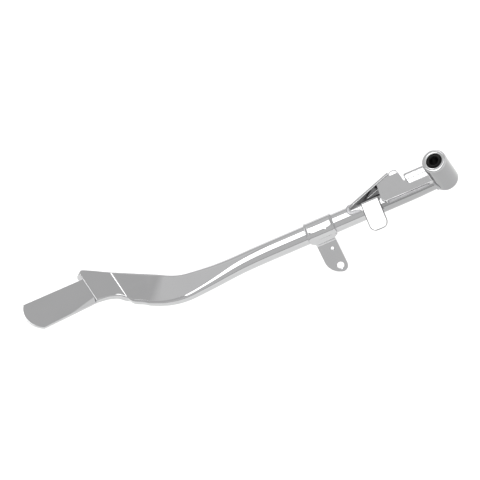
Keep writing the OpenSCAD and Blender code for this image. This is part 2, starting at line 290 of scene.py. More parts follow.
# ---------------------------------------------------------------- materials
class Nodes:
    """Short calls for building a material's node tree."""

    def __init__(self, name):
        self.material = bpy.data.materials.new(name)
        self.material.use_nodes = True
        self.tree = self.material.node_tree
        self.tree.nodes.clear()
        self.out = self.add("ShaderNodeOutputMaterial")
        self.shader = self.add("ShaderNodeBsdfPrincipled")
        self.link(self.shader, "BSDF", self.out, "Surface")
        self.coords = self.add("ShaderNodeTexCoord")

    def add(self, kind, **values):
        node = self.tree.nodes.new(kind)
        for key, value in values.items():
            setattr(node, key, value)
        return node

    def link(self, a, out_name, b, in_name):
        self.tree.links.new(a.outputs[out_name], b.inputs[in_name])

    def stretched(self, scale):
        mapping = self.add("ShaderNodeMapping")
        mapping.inputs["Scale"].default_value = scale
        self.link(self.coords, "Object", mapping, "Vector")
        return mapping

    def noise(self, scale, detail=3.0, stretch=(1, 1, 1), distortion=0.0):
        node = self.add("ShaderNodeTexNoise")
        node.inputs["Scale"].default_value = scale
        node.inputs["Detail"].default_value = detail
        node.inputs["Distortion"].default_value = distortion
        self.link(self.stretched(stretch), "Vector", node, "Vector")
        return node

    def ramp(self, source, out_name, low, high, low_at=0.3, high_at=0.7):
        node = self.add("ShaderNodeMapRange")
        node.inputs["From Min"].default_value = low_at
        node.inputs["From Max"].default_value = high_at
        node.inputs["To Min"].default_value = low
        node.inputs["To Max"].default_value = high
        self.link(source, out_name, node, "Value")
        return node

    def blend_colours(self, factor, out_name, dark, light):
        node = self.add("ShaderNodeMix", data_type="RGBA")
        colour_a = [s for s in node.inputs if s.name == "A" and s.type == "RGBA"][0]
        colour_b = [s for s in node.inputs if s.name == "B" and s.type == "RGBA"][0]
        colour_a.default_value = (*dark, 1)
        colour_b.default_value = (*light, 1)
        self.link(factor, out_name, node, "Factor")
        result = [s for s in node.outputs if s.type == "RGBA"][0]
        self.tree.links.new(result, self.shader.inputs["Base Color"])

    def paint_shade(self, axis, full_at, none_at, factor):
        """Multiplies the base colour on one side of a plane across the object: painted shade."""
        split = self.add("ShaderNodeSeparateXYZ")
        self.link(self.coords, "Object", split, "Vector")
        level = self.ramp(split, axis, factor, 1.0, full_at * MM, none_at * MM)
        colour = self.shader.inputs["Base Color"].links[0].from_socket
        scaled = self.add("ShaderNodeVectorMath", operation="SCALE")
        self.tree.links.new(colour, scaled.inputs[0])
        self.tree.links.new(level.outputs["Result"], scaled.inputs["Scale"])
        self.tree.links.new(scaled.outputs["Vector"], self.shader.inputs["Base Color"])

    def bump(self, height, out_name, strength, distance_mm, after=None):
        node = self.add("ShaderNodeBump")
        node.inputs["Strength"].default_value = strength
        node.inputs["Distance"].default_value = distance_mm * MM
        self.link(height, out_name, node, "Height")
        if after is not None:
            self.link(after, "Normal", node, "Normal")
        self.link(node, "Normal", self.shader, "Normal")
        return node


def chrome(name, dark=(0.485, 0.486, 0.49), light=(0.515, 0.516, 0.52), waviness=0.07, rough=(0.02, 0.05),
           painted_shade=None):
    """Polished chrome: slight tone drift, buffing haze and the faint waviness of the metal below.

    painted_shade (axis, full_at, none_at, factor) paints shade into the plating, darker on one side of a
    plane, in millimetres.
    """
    n = Nodes(name)
    n.shader.inputs["Metallic"].default_value = 1.0
    tone = n.noise(38, detail=2)
    n.blend_colours(tone, "Fac", dark, light)
    # painted shade: the base colour is darkened on one side of a plane
    if painted_shade is not None:
        n.paint_shade(*painted_shade)
    haze = n.noise(240, detail=4, stretch=(0.25, 1, 1), distortion=0.4)
    n.link(n.ramp(haze, "Fac", *rough), "Result", n.shader, "Roughness")
    waves = n.bump(n.noise(95, detail=1.5), "Fac", waviness, 0.05)
    scratches = n.noise(2600, detail=2, stretch=(0.06, 1, 1), distortion=0.2)
    n.bump(scratches, "Fac", 0.05, 0.004, after=waves)
    return n.material


def weld_chrome():
    """Chrome over weld metal: duller, with small pits and spatter."""
    n = Nodes("chrome_over_weld")
    n.shader.inputs["Metallic"].default_value = 1.0
    n.blend_colours(n.noise(420, detail=4), "Fac", (0.36, 0.36, 0.37), (0.50, 0.50, 0.51))
    n.link(n.ramp(n.noise(600, detail=5), "Fac", 0.38, 0.55), "Result", n.shader, "Roughness")
    lumps = n.bump(n.noise(520, detail=3, distortion=0.6), "Fac", 0.35, 0.10)
    n.bump(n.noise(2400, detail=3), "Fac", 0.2, 0.02, after=lumps)
    return n.material


def dark_steel(name, dark, light, rough):
    """Blackened steel with the fine turning marks of a lathe."""
    n = Nodes(name)
    n.shader.inputs["Metallic"].default_value = 0.35
    n.shader.inputs["Specular IOR Level"].default_value = 0.3
    n.blend_colours(n.noise(500, detail=5), "Fac", dark, light)
    n.link(n.ramp(n.noise(900, detail=4), "Fac", *rough), "Result", n.shader, "Roughness")
    turning = n.noise(1500, detail=2, stretch=(0.15, 0.15, 3))
    n.bump(turning, "Fac", 0.25, 0.02)
    return n.material


CHROME = chrome("polished_chrome")
SHEET_CHROME = chrome("polished_chrome_sheet", waviness=0.10, rough=(0.03, 0.065))
# painted shade: the leg's chrome is darker towards the pivot, where it runs under the head plates
FORGED_CHROME_SHADED_NEAR_HEAD = chrome("polished_chrome_forged_painted_shade", waviness=0.10, painted_shade=("X", -66, -72, 0.72))
# painted shade: the barrel's chrome is darker everywhere below its top rim
BARREL_CHROME_PAINTED_SHADE = chrome("polished_chrome_barrel_painted_shade", painted_shade=("Z", BARREL_HALF - 1.5, BARREL_HALF - 0.9, 0.62))
# painted shade: the gusset's chrome is darker below its crest, in the pocket
POCKET_CHROME_PAINTED_SHADE = chrome("polished_chrome_pocket_painted_shade", waviness=0.10,
                       painted_shade=("Z", PLATE_TOP - 1.6, PLATE_TOP - 0.2, 0.85))
# painted shade: a dark chrome for the kick tab's edges
TAB_EDGE_PAINTED_SHADE = chrome("polished_chrome_painted_edge_shade", dark=(0.20, 0.20, 0.20), light=(0.26, 0.26, 0.26))
WELD = weld_chrome()
BUSH = dark_steel("bush_lining", (0.002, 0.002, 0.002), (0.006, 0.006, 0.006), (0.45, 0.7))
SLEEVE = dark_steel("black_oxide", (0.004, 0.004, 0.004), (0.010, 0.010, 0.010), (0.4, 0.65))


def finish_piece(obj, node, material, body="leg"):
    weighted = obj.modifiers.new("flat_faces_stay_flat", "WEIGHTED_NORMAL")
    weighted.keep_sharp = True
    apply_modifiers(obj)
    obj.data.materials.clear()
    obj.data.materials.append(material)
    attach(obj, body)
    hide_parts(node)
    return obj


# ---------------------------------------------------------------- leg: centre line and foot frame
ARC_FROM = BEND_AT - BEND_R * math.tan(BEND_ANGLE / 2)
ARC_LEN = BEND_R * BEND_ANGLE
AFTER_DIR = vec(-math.cos(BEND_ANGLE), math.sin(BEND_ANGLE))
AFTER_SIDE = vec(math.sin(BEND_ANGLE), math.cos(BEND_ANGLE))


def line_at(d):
    """Point and sideways direction of the leg's centre line at a distance from the pivot."""
    turned = min(max((d - ARC_FROM) / ARC_LEN, 0.0), 1.0) * BEND_ANGLE
    point = vec(-min(d, ARC_FROM), 0) + BEND_R * vec(-math.sin(turned), 1 - math.cos(turned))
    point = point + max(d - ARC_FROM - ARC_LEN, 0) * AFTER_DIR
    return point, vec(math.sin(turned), math.cos(turned))


HEADING = math.pi + FOOT_TURN
FOLD_XY = vec(-BEND_AT, 0) + FOLD_AT * AFTER_DIR + (FLAT_W / 2 - FOLD_INSET) * AFTER_SIDE
FOLD_CORNER = vec(FOLD_XY[0], FOLD_XY[1], FLAT_Z + FLAT_T / 2)
TOE_LEVEL = math.cos(FOOT_RISE)
TOE = vec(TOE_LEVEL * math.cos(HEADING), TOE_LEVEL * math.sin(HEADING), math.sin(FOOT_RISE))
ACROSS = vec(-math.sin(HEADING), math.cos(HEADING), 0)
UP = np.cross(TOE, ACROSS)


def foot_point(x, y, z):
    return FOLD_CORNER + x * TOE + y * ACROSS + z * UP


BLADE_CORNER = 2.0                    # edge rounding of the flat blade
PAD_CORNER = 1.7
FLATTEN_FROM, FLATTEN_TO = 150, 264   # distances from the pivot
WIDEN_FROM = 180
NECK_FROM, NECK_TO = 8, 30            # where the round bar is drawn up to meet the whole barrel
SWAY_FROM, SWAY_TO = 165, 250         # where the forging swings out a little before the bend
SKEW_FROM = 262                       # where the sections start to turn towards the fold
FOLD_IN, FOLD_OUT = -1.8, 29.0        # ends of the fold, across the foot
OUTER_BULGE = 4.2                     # swelling of the outer edge just before the fold


def leg_section(d):
    """The leg's section at a distance from the pivot: round bar that flattens into the blade."""
    p, s = line_at(d)
    flat = ease(d, FLATTEN_FROM, FLATTEN_TO)
    wide = mix(ROD_R, FLAT_W / 2, ease(d, WIDEN_FROM, FLATTEN_TO))
    thick = mix(ROD_R, FLAT_T / 2, flat)
    lift = ease(-d, -NECK_TO, -NECK_FROM) * (ROD_R - ROD_Z - BARREL_HALF) / 2
    sway = math.sin(math.pi * ease(d, SWAY_FROM, SWAY_TO))
    centre = vec(p[0], p[1] - sway, mix(ROD_Z, FLAT_Z, flat) + lift)
    corner = mix(ROD_R, BLADE_CORNER, flat)
    return slab_ring(centre, wide * vec(s[0], s[1], 0), vec(0, 0, thick - lift), corner)


def fold_sections():
    """Sections that turn from square to the leg until they lie along the foot's fold."""
    p, s = line_at(SKEW_FROM)
    near_in, near_out = p + FLAT_W / 2 * s, p - FLAT_W / 2 * s
    far_in = (FOLD_CORNER + ACROSS * FOLD_IN)[:2]
    far_out = (FOLD_CORNER + ACROSS * FOLD_OUT)[:2]
    rings = []
    for f in np.linspace(0.04, 0.97, 24):
        a = mix(near_in, far_in, f)
        b = mix(near_out, far_out, f) - OUTER_BULGE * f * f * math.sin(math.pi * f) * AFTER_SIDE
        m, w = (a + b) / 2, (a - b) / 2
        rings.append(slab_ring(vec(*m, FLAT_Z), vec(*w, 0), vec(0, 0, FLAT_T / 2), BLADE_CORNER))
    normal = unit(vec(0, 0, 1) + UP)
    centre = FOLD_CORNER + ACROSS * (FOLD_IN + FOLD_OUT) / 2 - normal * FLAT_T / 2
    rings.append(slab_ring(centre, ACROSS * (FOLD_IN - FOLD_OUT) / 2, normal * FLAT_T / 2, BLADE_CORNER))
    return rings


# distance past the fold, inner edge, outer edge, thickness
PAD_STATIONS = (
    (0.8, -2.4, 27.6, 6.9), (2.0, -3.3, 25.8, 6.8), (5.0, -5.4, 22.6, 6.6), (12.0, -10.6, 19.9, 6.0),
    (19.0, -15.3, 18.9, 5.4), (20.6, -16.0, 18.8, 5.3), (21.8, -15.4, 18.7, 5.2), (22.8, -13.6, 18.6, 5.0))


def build_leg():
    start, knot_step, step, blur = 10.0, 2.0, 0.7, 1.6
    cope_inset, end_slope = 1.0, 2.3
    knots = [leg_section(d) for d in np.arange(start, SKEW_FROM + 0.1, knot_step)] + fold_sections()
    for x, y_in, y_out, t in PAD_STATIONS:
        middle = foot_point(x, (y_in + y_out) / 2, -t / 2)
        knots.append(slab_ring(middle, (y_in - y_out) / 2 * ACROSS, t / 2 * UP, PAD_CORNER))
    knots = np.array(knots)
    # even spacing along the leg, then a blur that turns every joint into a fillet
    gaps = np.linalg.norm(np.diff(knots.mean(axis=1), axis=0), axis=1)
    at = np.concatenate([[0], np.cumsum(gaps)])
    wanted = np.arange(0, at[-1], step)
    index = np.clip(np.searchsorted(at, wanted, side="right") - 1, 0, len(at) - 2)
    f = ((wanted - at[index]) / (at[index + 1] - at[index]))[:, None, None]
    rings = knots[index] * (1 - f) + knots[index + 1] * f
    rings = smooth_rows(np.concatenate([rings, knots[-1:]]), blur)
    # the coped end follows the barrel, just inside its wall
    y = rings[0][:, 1]
    rings[0][:, 0] = -np.sqrt(np.maximum((BARREL_R - cope_inset) ** 2 - y ** 2, 1.0))
    # the pad's end slopes down into its weld on the foot plate
    last = rings[-1]
    depth = -(last - FOLD_CORNER) @ UP / PAD_STATIONS[-1][3]
    last = last + np.outer(end_slope * depth, TOE)
    middle = last.mean(axis=0)
    rim_steps = ((0.985, 0.25), (0.95, 0.4), (0.90, 0.45))
    rim = [middle + (last - middle) * shrink + TOE * reach for shrink, reach in rim_steps]
    rings = np.concatenate([rings[:-1], [last], np.array(rim)])
    leg = loft("leg_bar_forged", rings, sharp_angle=45)
    return finish_piece(leg, "leg_bar", FORGED_CHROME_SHADED_NEAR_HEAD)


# ---------------------------------------------------------------- pivot
def build_barrel():
    r, half, rim, mouth = BARREL_R, BARREL_HALF, 1.7, 0.85
    bore = BUSH_HIGH[0]
    profile = []
    for sign in (1, -1):
        corner = [(r - rim + rim * math.cos(a), sign * (half - rim + rim * math.sin(a)))
                  for a in [math.radians(a) for a in range(0, 91, 9)]]
        # the mouth's lip is a soft countersink, given as steps in and down
        steps = ((mouth + 0.25, 0), (mouth, 0.08), (mouth * 0.5, mouth * 0.62), (0.05, mouth * 1.25),
                 (0, mouth * 1.6))
        side = corner + [(bore + out, sign * (half - down)) for out, down in steps]
        profile += side if sign == 1 else side[::-1]
        if sign == 1:
            profile += [(bore, z) for z in np.linspace(half - 4, -half + 4, 6)]
    profile += [(r, z) for z in np.linspace(-half + rim + 2, half - rim - 2, 12)]
    barrel = lathe("pivot_barrel_turned", profile)
    return finish_piece(barrel, "pivot_barrel", BARREL_CHROME_PAINTED_SHADE)


def ring_profile(inner, outer, low, high, chamfer):
    return [(inner + chamfer, high), (inner, high - chamfer), (inner, low + chamfer), (inner + chamfer, low),
            (outer - chamfer, low), (outer, low + chamfer), (outer, high - chamfer), (outer - chamfer, high)]


def build_pivot_inside():
    bolt_r, bush_clear = 4.1, 0.05
    for node in ("bush_upper", "bush_lower"):
        low, high = box_mm(node)
        profile = ring_profile(SLEEVE_HIGH[0] + bush_clear, high[0], low[2], high[2], 0.15)
        finish_piece(lathe(node + "_lining", profile, 96), node, BUSH)
    profile = ring_profile(bolt_r, SLEEVE_HIGH[0], SLEEVE_LOW[2], SLEEVE_HIGH[2], 0.35)
    finish_piece(lathe("pivot_sleeve_turned", profile, 96), "pivot_sleeve", SLEEVE, body="pivot")


# ---------------------------------------------------------------- lock plate
# the edge on the ear's side: points along it, listed, then smoothed
PLATE_EDGE_X = (-54, -43, -41.3, -39.8, -38.2, -36.6, -35.5, -34.8, -34.2, -32.5, -32.1, -31.6, -31.1,
                -30.5, -30.0, -29.6, -6)
PLATE_EDGE_Y = (13.8, 18.0, 18.75, 19.3, 19.5, 19.35, 18.95, 18.2, 17.1, 9.6, 7.4, 5.9, 5.2,
                5.4, 6.3, 7.25, 7.3)
EAR_ROUND = 2.2                  # rounding of the ear's rim
EAR_CURL, CURL_FROM_Y = 0.15, 15.2   # slope of the ear's lifted tip, and where it starts
EAR_LEFT, EAR_RIGHT = -43, -33.5


def build_lock_plate():
    left, right, ear_end = -54, -6.9, -29
    xs = np.concatenate([np.arange(left, EAR_LEFT, 0.4), np.arange(EAR_LEFT, ear_end, 0.14),
                         np.arange(ear_end, right, 0.7)])
    edge = np.interp(xs, PLATE_EDGE_X, PLATE_EDGE_Y)
    smooth = np.convolve(np.pad(edge, 3, mode="edge"), np.ones(7) / 7, mode="valid")
    cols = 80
    top = np.zeros((len(xs), cols, 3))
    for i, x in enumerate(xs):
        low = PLATE_LOW[1] + max(0.0, -51 - x)
        for j, v in enumerate(np.linspace(0, 1, cols)):
            y = mix(low, smooth[i], v)
            # the ear curls up a little towards its tip, then rolls over at its rim
            on_ear = ease(x, -42.5, -39) * (1 - ease(x, -36.3, -34.6))
            curl = on_ear * EAR_CURL * max(0.0, y - CURL_FROM_Y)
            rim = EAR_ROUND - (smooth[i] - y)
            roll = 0.0
            if rim > 0 and x < EAR_RIGHT:
                roll = EAR_ROUND - math.sqrt(max(EAR_ROUND ** 2 - rim ** 2, 0.15))
            top[i, j] = (x, y, PLATE_TOP - 0.02 + curl - roll * ease(x, -44, -41))
    bottom = top.copy()
    bottom[:, :, 2] = PLATE_LOW[2]
    plate = sheet("lock_plate_stamped", top, bottom, 0.3)
    return finish_piece(plate, "lock_plate", SHEET_CHROME)


def build_neck_flange():
    inner, outer = FLANGE_LOW[1], FLANGE_HIGH[1]
    base, crest = FLANGE_LOW[2], FLANGE_HIGH[2]
    left, right = FLANGE_LOW[0], -7.2
    corner, soften = 2.2, 0.35
    rings = []
    for x in np.concatenate([[left, left + 0.12, left + soften], np.arange(left + 0.8, right, 0.7)]):
        away = x - left
        drop = corner - math.sqrt(max(corner ** 2 - (corner - away) ** 2, 0)) if away < corner else 0
        squeeze = soften * max(0, 1 - away / soften)
        rings.append(flange_section(inner + squeeze, outer - squeeze, base, crest - drop, x))
    flange = loft("neck_flange_upturned", rings, sharp_angle=45)
    return finish_piece(flange, "neck_flange", SHEET_CHROME)


def flange_section(inner, outer, base, top, x):
    """An upright strip in the YZ plane with rounded corners and a fillet at its inner foot."""
    crest = min((outer - inner) / 2, 0.35)
    fillet, sunk = 0.45, 0.4
    pts = [(outer, base + 0.02)]
    pts += arc_points(outer - crest, top - crest, crest, 0, 90, 7)
    pts += arc_points(inner + crest, top - crest, crest, 90, 180, 7)
    pts += arc_points(inner - fillet, base + fillet, fillet, 0, -90, 8)
    pts += [(inner - fillet, base - sunk), (outer, base - sunk)]
    return np.array([(x, y, z) for y, z in pts])


# ---------------------------------------------------------------- ramp gusset
def build_ramp_gusset():
    nose, end = vec(RAMP_LOW[0], 3.2), vec(-42.4, 18.7)
    length = np.linalg.norm(end - nose)
    along = (end - nose) / length
    outward = vec(-along[1], along[0])
    wall_t, crest, fillet = 2.2, 0.35, 0.6
    nose_len, nose_drop = 6.0, 1.7
    floor_low, floor_rise = -7.6, 3.2
    rod_side = 6.5          # the floor reaches in as far as the round leg
    rings = []
    for s in np.concatenate([[0, 0.2, 0.6], np.arange(1.2, length, 0.8), [length]]):
        origin = nose + along * s
        top = RAMP_HIGH[2] - nose_drop * max(0.0, 1 - s / nose_len) ** 2
        squeeze = 0.5 * max(0.0, 1 - s / 0.6)
        floor = floor_low + floor_rise * ease(-s, -16, -4)
        floor_in = -wall_t - fillet - 0.2 - max(0.0, origin[1] - rod_side)
        pts = [(-squeeze, RAMP_LOW[2])]
        pts += arc_points(-squeeze - crest, top - crest, crest, 0, 90, 6)
        pts += arc_points(-wall_t + squeeze + crest, top - crest, crest, 90, 180, 6)
        pts += arc_points(-wall_t - fillet, floor + fillet, fillet, 0, -90, 7)
        pts += [(floor_in, floor), (floor_in, RAMP_LOW[2])]
        rings.append(np.array([[*(origin + outward * o), z] for o, z in pts]))
    gusset = loft("ramp_gusset_folded", rings, sharp_angle=45)
    return finish_piece(gusset, "ramp_gusset", POCKET_CHROME_PAINTED_SHADE)


# ---------------------------------------------------------------- kick tab
def build_kick_tab():
    half, length, flat_root, corner_r, thick = 7.9, 23.0, 3.2, 5.6, 2.4
    edge_round, root_dip = 1.1, 0.22
    slope = math.radians(25)
    root = vec(-64.0, -1.5, PLATE_TOP - 0.4)
    tip = vec(0, -math.cos(slope), -math.sin(slope))
    ends = length - corner_r * (1 - np.sin(np.linspace(0, math.pi / 2, 22)))
    rings = []
    for d in np.concatenate([np.arange(-flat_root, length - corner_r, 0.35), ends]):
        over = max(0.0, d - (length - corner_r))
        w = half - corner_r + math.sqrt(max(corner_r ** 2 - over ** 2, 0.0))
        angle = slope * ease(d, -0.6, 0.9)
        t = thick / 2 * math.sqrt(max(1 - max(0, 1 - (length - d) / 0.9) ** 2, 0.06))
        normal = vec(0, -math.sin(angle), math.cos(angle))
        top = root + tip * d if d > 0 else root + vec(0, -d, 0)
        top = top - vec(0, 0, root_dip) * (1 - ease(abs(d), 0, 1.5))
        rings.append(slab_ring(top - normal * thick / 2, vec(max(w, 0.3), 0, 0), normal * t, edge_round))
    tab = loft("kick_tab_pressed", rings, sharp_angle=50)
    finish_piece(tab, "kick_tab", SHEET_CHROME)
    # the tab's edge faces get the dark chrome: painted shade
    tab.data.materials.append(TAB_EDGE_PAINTED_SHADE)
    face, edge_limit = Vector((0, -math.sin(slope), math.cos(slope))), 0.80
    for polygon in tab.data.polygons:
        if abs(polygon.normal.dot(face)) < edge_limit:
            polygon.material_index = 1


# ---------------------------------------------------------------- saddle bracket
FLAG_SLOPE = math.radians(51.5)
FLAG_W = 16.8
FLAG_X = -119.7
FLAG_BEND_Z = -20.2
FLAG_DOWN = vec(-math.cos(FLAG_SLOPE), -math.sin(FLAG_SLOPE))
FLAG_OUT = vec(-math.sin(FLAG_SLOPE), math.cos(FLAG_SLOPE))
HOLE_EDGE = 6.0                  # from the holes' centre line to the flag's straight edge
SMALL_HOLE = (5.7, 1.5)          # distance down the flag, radius
LARGE_HOLE = (22.3, 3.1)
SADDLE_HALF_T, FLAG_HALF_T = 0.6, 1.0


def saddle_path():
    """Points and outward normals of the bracket's middle surface, from its back edge to the flag's tip."""
    r = ROD_R + 0.75
    path = []
    for t in [math.radians(a) for a in np.linspace(-50, 90, 40)]:
        out = vec(-math.sin(t), math.cos(t))
        path.append((vec(-r * math.sin(t), ROD_Z + r * math.cos(t)), out, "saddle"))
    for z in np.linspace(ROD_Z - 0.8, FLAG_BEND_Z + 2.2, 10):
        path.append((vec(-r, z), vec(-1, 0), "front"))
    bend_r = 2.6
    centre = vec(-r - bend_r, FLAG_BEND_Z + 1.3)
    for a in np.linspace(0.1, 1, 8):
        t = (math.pi / 2 - FLAG_SLOPE) * a
        out = vec(-math.cos(t), math.sin(t))
        path.append((centre + bend_r * vec(math.cos(t), -math.sin(t)), out, "bend"))
    start = path[-1][0]
    straight_to, round_end = 21, 7.1
    end_steps = straight_to + round_end * np.sin(np.linspace(0.05, math.pi / 2, 26))
    for d in np.concatenate([np.arange(0.5, straight_to, 0.7), end_steps]):
        path.append((start + FLAG_DOWN * d, FLAG_OUT, "flag"))
    return path, start


def flag_edges(d):
    """Left and right edges of the flag at a distance down it: straight, then arcs round the large hole."""
    right = FLAG_W
    past_hole = d - LARGE_HOLE[0]
    if past_hole > 0:
        right = FLAG_W - HOLE_EDGE + math.sqrt(max(HOLE_EDGE ** 2 - past_hole ** 2, 0.0))
    left = 0.0
    flank_r, flank_from = 14.0, 14.4
    if d > flank_from:
        f = min((d - flank_from) / flank_r, 1.0)
        left = flank_r * (1 - math.sqrt(max(1 - f * f, 0.0)))
    return min(left, right - 0.4), right


def bracket_span(point, kind, flag_start):
    """Left edge, right edge and half thickness of the bracket at a point of its path."""
    x_low, x_high = SADDLE_LOW[0], SADDLE_HIGH[0]
    if kind == "saddle":
        return x_low, x_high, SADDLE_HALF_T
    if kind == "front":
        f = ease(-point[1], -(ROD_Z - 0.8), -(FLAG_BEND_Z + 3.4))
        return mix(x_low, FLAG_X, f), mix(x_high, FLAG_X + FLAG_W, f), mix(SADDLE_HALF_T, 0.95, f)
    if kind == "bend":
        return FLAG_X, FLAG_X + FLAG_W, FLAG_HALF_T
    low, high = flag_edges(np.dot(point - flag_start, FLAG_DOWN))
    return FLAG_X + low, FLAG_X + high, FLAG_HALF_T


def saddle_lift(point, from_middle):
    """Height of the pressed crown and of the turned-up side rims over the saddle's plain shape."""
    crown_h, crown_at, crown_power = 0.7, 0.85, 4
    rim_from, rim_h, rim_power, sunk = 0.86, 0.5, 0.7, 0.2
    angle = math.atan2(-point[0], point[1] - ROD_Z)
    along = math.cos(min(max((angle - crown_at) / crown_at, -1), 1) * math.pi / 2) ** 2
    crown = crown_h * (1 - (from_middle / rim_from) ** crown_power) * along
    rim = rim_h * max(0.0, (from_middle - rim_from) / (1 - rim_from)) ** rim_power
    return (crown if from_middle < rim_from else 0.0) + rim - sunk


def hole_cutter(flag_start, distance, radius):
    """A drill with a countersink on both faces, square to the flag."""
    middle = vec(FLAG_X + FLAG_W - HOLE_EDGE, *(flag_start + FLAG_DOWN * distance))
    axis, side = vec(0, *FLAG_OUT), vec(0, *FLAG_DOWN)
    turns = np.arange(48) * 2 * math.pi / 48
    upper = ((0.7, 1.7), (0.35, 1.0), (0, 0.62))
    steps = upper + tuple((wider, -height) for wider, height in upper[::-1])
    rings = []
    for wider, height in steps:
        r = radius + wider
        ring = np.outer(np.cos(turns) * r, vec(1, 0, 0)) + np.outer(np.sin(turns) * r, side)
        rings.append(middle + axis * height + ring)
    return loft("hole_cutter", rings)


def build_saddle_bracket():
    path, flag_start = saddle_path()
    cols = 84
    rows_top, rows_bottom = [], []
    for point, normal, kind in path:
        left, right, thick = bracket_span(point, kind, flag_start)
        top_row, bottom_row = [], []
        for u in np.linspace(0, 1, cols):
            x = mix(left, right, u)
            lift = saddle_lift(point, abs(2 * u - 1)) if kind == "saddle" else 0.0
            top_row.append((x, *(point + normal * (thick + lift))))
            bottom_row.append((x, *(point + normal * (-thick + lift * 0.2))))
        rows_top.append(top_row)
        rows_bottom.append(bottom_row)
    bracket = sheet("saddle_bracket_pressed", np.array(rows_top), np.array(rows_bottom), 0.55, 4)
    for distance, radius in (SMALL_HOLE, LARGE_HOLE):
        cut(bracket, hole_cutter(flag_start, distance, radius))
    return finish_piece(bracket, "saddle_bracket", SHEET_CHROME)


# ---------------------------------------------------------------- foot plate
def build_foot_plate():
    reach, tip_r, tip_y = 82.5, 18.9, 5.0
    start, root_t, tip_t, sink = PAD_LEN + 0.1, 3.6, 2.2, 0.35
    root_in, root_out = -6.2, 18.7
    tip_in, tip_out = -7.1, 21.3
    bevel_w, bevel_run, bevel_slope, bevel_depth = 4.3, 27.0, 0.6, 2.2
    vs = np.linspace(0, 1, 40)
    us = np.concatenate([np.linspace(0, 0.5, 40), np.linspace(0.51, 1, 50)])
    top = np.zeros((len(us), len(vs) + 8, 3))
    bottom = np.zeros_like(top)
    for i, u in enumerate(us):
        # the bevel on the outer edge narrows to nothing as the plate runs out
        bevel = bevel_w * max(0.0, 1 - (mix(start, 80, u) - start) / bevel_run)
        width = mix(root_out - root_in, tip_out - tip_in, u)
        split = 1 - max(bevel, 0.02) / width
        columns = list(vs * split) + list(np.linspace(split, 1, 9)[1:])
        for j, v in enumerate(columns):
            y_root, y_tip = mix(root_in, root_out, v), mix(tip_in, tip_out, v)
            x_tip = reach - tip_r + math.sqrt(tip_r ** 2 - (y_tip - tip_y) ** 2)
            x, y = mix(start, x_tip, u), mix(y_root, y_tip, u)
            depth = sink
            if v > split:
                depth += min((v - split) * width * bevel_slope, bevel_depth)
            thick = mix(root_t, tip_t, (x - start) / (reach - start))
            top[i, j] = foot_point(x, y, -depth)
            bottom[i, j] = foot_point(x, y, -sink - thick)
    plate = sheet("foot_plate_pressed", top, bottom, 0.5, 4)
    return finish_piece(plate, "foot_plate", CHROME)


# ---------------------------------------------------------------- welds
def weld_piece(node, name, path, radius, ripples, seed, material=WELD, **shape):
    finish_piece(bead(name, path, radius, ripples, seed, **shape), node, material)


def build_barrel_weld():
    """The bead runs round the leg's end on the barrel's wall, drawn up a little underneath."""
    angle = np.linspace(0, 2 * math.pi, 181)[:-1]
    r, under = ROD_R - 0.25, 0.70
    y = r * np.cos(angle)
    z = ROD_Z + r * np.sin(angle) * np.where(np.sin(angle) < 0, under, 1.0)
    path = np.stack([-np.sqrt(BARREL_R ** 2 - y ** 2) - 0.1, y, z], 1)
    weld_piece("barrel_weld", "barrel_weld_bead", path, 1.35, 26, 3, closed=True, facing=vec(1, 0, 0))


def build_head_welds():
    y, z = PLATE_LOW[1] - 0.1, PLATE_TOP - 2.3
    line = straight((-50, y, z), (-12.5, y, z), 260)
    weld_piece("plate_weld", "plate_weld_bead", line, 1.35, 24, 5, nub=0.5)

    turn = np.radians(np.linspace(60, 250, 100))
    x = RAMP_LOW[0] + 2 + 3 * np.cos(turn)
    nose = np.stack([x, 1.2 + 3.2 * np.sin(turn), np.full(100, -4.3)], 1)
    nose = np.concatenate([nose, straight(nose[-1], (-72.6, -2.6, -4.6), 60)[1:]])
    weld_piece("gusset_nose_weld", "gusset_nose_bead", nose, 2.1, 13, 7, flat=0.5)

    line = straight((-66, 7.7, -9.8), (-43.5, 7.7, -9.8))
    weld_piece("gusset_back_weld", "gusset_back_bead", line, 1.2, 14, 9)

    line = straight((-71, 0.2, -3.6), (-55.2, -0.4, -3.6))
    weld_piece("kick_tab_weld", "kick_tab_bead", line, 1.3, 10, 11)


def build_saddle_welds():
    turn = np.radians(np.linspace(42, 178, 150))
    r = ROD_R - 0.1
    for end, x, seed in (("front", SADDLE_HIGH[0] + 0.2, 13), ("rear", SADDLE_LOW[0] - 0.2, 17)):
        node = "saddle_weld_" + end
        arc = np.stack([np.full(150, x), r * np.cos(turn), ROD_Z + r * np.sin(turn)], 1)
        weld_piece(node, node + "_bead", arc, 0.75, 15, seed, facing=vec(1, 0, 0))


def build_foot_welds():
    ys = np.linspace(-5.6, 18.2, 120)
    top = np.array([foot_point(PAD_LEN, y, -1.25) for y in ys])
    weld_piece("foot_weld_top", "foot_weld_top_bead", top, 1.1, 14, 19, material=CHROME, facing=UP)
    under = np.array([foot_point(PAD_LEN, y, -3.4) for y in ys])
    weld_piece("foot_weld_under", "foot_weld_under_bead", under, 1.2, 14, 23, facing=UP)


# ---------------------------------------------------------------- stage, light and camera
def build_stage():
    """A plain white floor, far enough under the leg that no shadow shows on it."""
    floor_drop, floor_half, whiteness = 0.04, 9, 0.92
    floor_z = cad_bounds[0][2] - floor_drop
    bm = bmesh.new()
    bmesh.ops.create_grid(bm, x_segments=8, y_segments=8, size=floor_half)
    mesh = bpy.data.meshes.new("floor")
    bm.to_mesh(mesh)
    bm.free()
    floor = bpy.data.objects.new("floor", mesh)
    floor.location = (-0.18, 0, floor_z)
    bpy.context.scene.collection.objects.link(floor)
    n = Nodes("studio_floor")
    n.shader.inputs["Base Color"].default_value = (whiteness, whiteness, whiteness, 1)
    n.shader.inputs["Roughness"].default_value = 0.9
    n.shader.inputs["Specular IOR Level"].default_value = 0.0
    floor.data.materials.append(n.material)


